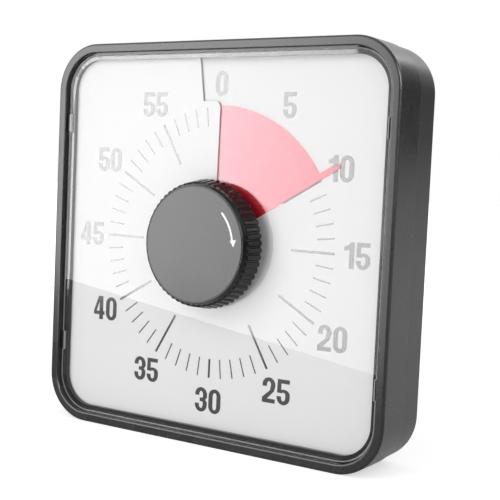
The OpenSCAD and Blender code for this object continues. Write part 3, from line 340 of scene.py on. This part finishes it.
# The movement
movement_grey = surface("movement_grey", (0.36, 0.37, 0.39), rough=0.5, vary=0.08, grain=1600,
                        depth=0.00004, strength=0.4, edge=0.0002)
acetal = surface("wheel_acetal", (0.72, 0.69, 0.58), rough=0.42, vary=0.06, grain=1400, depth=0.00002,
                 strength=0.3)
steel = surface("zinc_plated", (0.55, 0.55, 0.56), rough=0.32, vary=0.1, grain=1400, depth=0.00002,
                strength=0.3, metal=1.0, edge=0.0002)
iron = surface("stamped_iron", (0.2, 0.2, 0.21), rough=0.45, vary=0.12, grain=900, depth=0.00003,
               strength=0.4, metal=0.9)
brass = surface("stamped_brass", (0.6, 0.42, 0.16), rough=0.33, vary=0.1, grain=1100, depth=0.00002,
                strength=0.35, metal=1.0)

# What carries the current
copper = surface("wound_copper", (0.42, 0.16, 0.06), rough=0.38, vary=0.08, grain=700, depth=0.0001,
                 strength=0.8, metal=0.8, stretch=(0.3, 0.3, 4))
nickel = surface("nickel_plated", (0.6, 0.58, 0.54), rough=0.28, vary=0.1, grain=1300, depth=0.00002,
                 strength=0.3, metal=1.0)
board_green = surface("solder_mask", (0.02, 0.13, 0.06), rough=0.3, vary=0.08, grain=900, depth=0.00003,
                      strength=0.4, shade=0.3)
resin = surface("cast_resin", (0.02, 0.02, 0.02), rough=0.55, vary=0.1, grain=900, depth=0.00005,
                strength=0.5)
cell_sleeve = surface("cell_sleeve", (0.05, 0.13, 0.11), rough=0.28, vary=0.06, grain=900, depth=0.00002,
                      strength=0.3)
lead_red, lead_black, lead_blue = [
    surface(name, colour, rough=0.5, vary=0.06, grain=1200, depth=0.00003, strength=0.3)
    for name, colour in (("lead_red", (0.4, 0.01, 0.01)), ("lead_black", (0.02, 0.02, 0.02)),
                         ("lead_blue", (0.02, 0.05, 0.28)))]

finishes = {
    black: ("rear_housing", "battery_door", "stand"),
    frame_material(): ("front_bezel",),
    knob_material(): ("knob",),
    lens_material(): ("lens",),
    film_material(): ("time_disc",),
    card_white: ("dial_card",),
    ink: ("minute_marks", "numerals"),
    arrow_white: ("knob_arrow",),
    plate_white: ("dial_plate", "disc_hub"),
    switch_grey: ("volume_switch", "volume_slider"),
    movement_grey: ("movement_base", "movement_cover"),
    acetal: ("alarm_cam", "first_wheel"),
    steel: ("case_screws", "movement_screws", "wheel_pins", "quartz_crystal", "arbor", "arbor_clip"),
    iron: ("stator", "rotor"),
    brass: ("alarm_contact", "piezo_disc", "clutch_spring", "centre_wheel"),
    copper: ("drive_coil",),
    nickel: ("positive_contact", "spring_contact"),
    board_green: ("circuit_board",),
    resin: ("controller_chip", "buzzer_housing"),
    cell_sleeve: ("battery_cell",),
    lead_red: ("battery_wires",),
    lead_black: ("buzzer_wires",),
    lead_blue: ("switch_wires",),
}
for material, names in finishes.items():
    for name in names:
        mesh = nodes[name].data
        mesh.materials.clear()
        mesh.materials.append(material)

# The film casts no shadow: light on the card below it would pass more clear faces, of the lens and the
# film, than Cycles follows, and the card would turn black
nodes["time_disc"].visible_shadow = False


# ---------------------------------------------------------------- studio

def stage_card(name, corners, material):
    """A flat piece of the studio with four corners."""
    mesh = bpy.data.meshes.new(name)
    mesh.from_pydata(corners, [], [(0, 1, 2, 3)])
    mesh.materials.append(material)
    item = bpy.data.objects.new(name, mesh)
    bpy.context.scene.collection.objects.link(item)
    return item


def level_corners(left, right, front, back, height):
    """Corners of a level card."""
    return [(left, front, height), (right, front, height), (right, back, height), (left, back, height)]


def upright_corners(first, second, low, high):
    """Corners of an upright card between two places (x, y) and two heights."""
    return [(*first, low), (*second, low), (*second, high), (*first, high)]


def background_rays(g):
    """1 for camera rays, and 1 for mirrored or bent ones: metal and glass show the background too."""
    path = g.add("ShaderNodeLightPath")
    mirrored = g.math("MAXIMUM", path.outputs["Is Glossy Ray"], path.outputs["Is Transmission Ray"])
    return path.outputs["Is Camera Ray"], mirrored


def floor_material():
    """A pale floor with the object's shadow on it, which runs into the white backdrop further away."""
    near_lift = 0.6
    mirrored_lift = 0.2
    lift_starts = 0.25
    lift_full = 0.9
    g = Graph("pale_floor")
    diffuse = g.add("ShaderNodeBsdfDiffuse")
    g.link(g.shades(g.noise(6, 3), (0.80, 0.80, 0.80), (0.83, 0.83, 0.83)), diffuse.inputs["Color"])
    distance = g.add("ShaderNodeVectorMath", operation="LENGTH")
    g.link(g.coord.outputs["Object"], distance.inputs[0])
    seen, mirrored = background_rays(g)
    away = g.span(distance.outputs["Value"], near_lift, 1.0, lift_starts, lift_full)
    direct = g.math("MULTIPLY", seen, away)
    lift = g.add("ShaderNodeEmission")
    g.link(g.math("ADD", direct, g.math("MULTIPLY", mirrored, mirrored_lift)), lift.inputs["Strength"])
    both = g.add("ShaderNodeAddShader")
    g.link(diffuse.outputs["BSDF"], both.inputs[0])
    g.link(lift.outputs["Emission"], both.inputs[1])
    g.block.cycles.emission_sampling = "NONE"
    return g.finish(both.outputs["Shader"])


floor_reach = 6.0
stage_card("floor", level_corners(-floor_reach, floor_reach, -floor_reach, floor_reach, 0), floor_material())


class WorldGraph(Graph):
    """The same for the world's node tree."""

    def __init__(self, name):
        self.take(bpy.data.worlds.new(name), "ShaderNodeOutputWorld")


def studio_world(fill_strength):
    """White where it is seen, and a dimmer white as light on the object."""
    g = WorldGraph("studio")
    light = g.add("ShaderNodeBackground")
    light.inputs["Color"].default_value = (1, 1, 1, 1)
    shown = g.math("MAXIMUM", *background_rays(g))
    g.link(g.span(shown, fill_strength, 1.0, 0.0, 1.0), light.inputs["Strength"])
    return g.finish(light.outputs["Background"])


bpy.context.scene.world = studio_world(0.4)


def softbox(name, place, target, size, watts, glossy=True):
    """A rectangular lamp that looks at its target."""
    lamp = bpy.data.lights.new(name, "AREA")
    lamp.shape = "RECTANGLE"
    lamp.size, lamp.size_y = size
    lamp.energy = watts
    item = bpy.data.objects.new(name, lamp)
    item.location = place
    item.rotation_euler = (Vector(target) - Vector(place)).to_track_quat("-Z", "Y").to_euler()
    item.visible_glossy = glossy
    bpy.context.scene.collection.objects.link(item)


centre = (0, 0, CASE_MIDDLE)
softbox("key_light", (-0.5, -1.2, 0.8), centre, size=(0.9, 0.9), watts=6.3)
softbox("fill_light", (0.9, -0.9, 0.8), centre, size=(0.5, 0.5), watts=1.9)
softbox("front_light", (-0.05, -0.45, 0.06), (-0.04, 0, 0.05), size=(0.3, 0.1), watts=0.68, glossy=False)
softbox("back_light", (0.5, 1.1, 0.9), centre, size=(0.8, 0.8), watts=4)


def reflected_card(name, corners, strength, fade=None):
    """A flat card that shows only as a reflection: lit, or dark as a studio flag. A fade gives the
    strength that the card falls to, and the two places along X between which it does."""
    g = Graph(name)
    glow = g.add("ShaderNodeEmission")
    glow.inputs["Strength"].default_value = strength
    if fade:
        g.link(g.span(g.along("Object", "X"), strength, *fade), glow.inputs["Strength"])
    g.block.cycles.emission_sampling = "NONE"
    card = stage_card(name, corners, g.finish(glow.outputs["Emission"]))
    for rays in ("camera", "diffuse", "transmission", "shadow", "volume_scatter"):
        setattr(card, "visible_" + rays, False)


# The lit panel makes the glare on the lens, and its sloping lower edge is the glare's diagonal edge
panel_y = -0.2012
panel_left = -0.36
panel_right = 0.012
panel_top = 0.34
reflected_card("lit_panel", [(panel_left, panel_y, 0.0604), (panel_right, panel_y, 0.0069),
                             (panel_right, panel_y, panel_top), (panel_left, panel_y, panel_top)],
               strength=5.1, fade=(3.55, -0.14, 0.0))

# Below the panel's edge the lens mirrors a dark flag, which stands just behind the panel. Another flag lies
# on the floor in front of the timer
flag_left = -0.8
flag_right = 0.4
low_flag_y = panel_y - 0.004
reflected_card("low_flag", upright_corners((flag_left, low_flag_y), (flag_right, low_flag_y), 0.0, 0.07),
               strength=0.16)
reflected_card("floor_flag", level_corners(flag_left, flag_right, panel_y, -0.01, 0.0004), strength=0.25)

# A bright panel for the frame's round edge, and wide flags that keep the black parts black
reflected_card("rim_panel", upright_corners((0.8, -0.9), (1.15, -0.5), 0.35, 0.85), strength=12)
reflected_card("front_flag", upright_corners((-3, -1.6), (3, -1.6), 0.0, 3), strength=0.05)
reflected_card("side_flag", [(0.19, 1.2, 0.14), (2.5, 0.9, 0.14), (2.5, 0.9, 0.9), (0.15, 1.2, 0.75)],
               strength=0.07)
reflected_card("corner_flag", upright_corners((0.45, -1.3), (1.7, -0.3), 0.0, 0.35), strength=0.03)


# ---------------------------------------------------------------- camera

# The focal length in pixels of a picture 500 pixels wide, and where the camera stands and how it turns
focal_pixels = 1062.19
picture_width = 500
camera_place = Vector((0.2824, -0.42475, 0.12833))
camera_turn = Euler([math.radians(angle) for angle in (85.978, -2.586, 32.636)])

camera_data = bpy.data.cameras.new("camera")
camera_data.sensor_width = 36
camera_data.lens = camera_data.sensor_width * focal_pixels / picture_width
camera_data.clip_start = 0.01
camera_data.clip_end = 50
camera = bpy.data.objects.new("camera", camera_data)
camera.matrix_world = Matrix.LocRotScale(camera_place, camera_turn, None)
bpy.context.scene.collection.objects.link(camera)
bpy.context.scene.camera = camera

bpy.context.scene.view_settings.view_transform = "Standard"
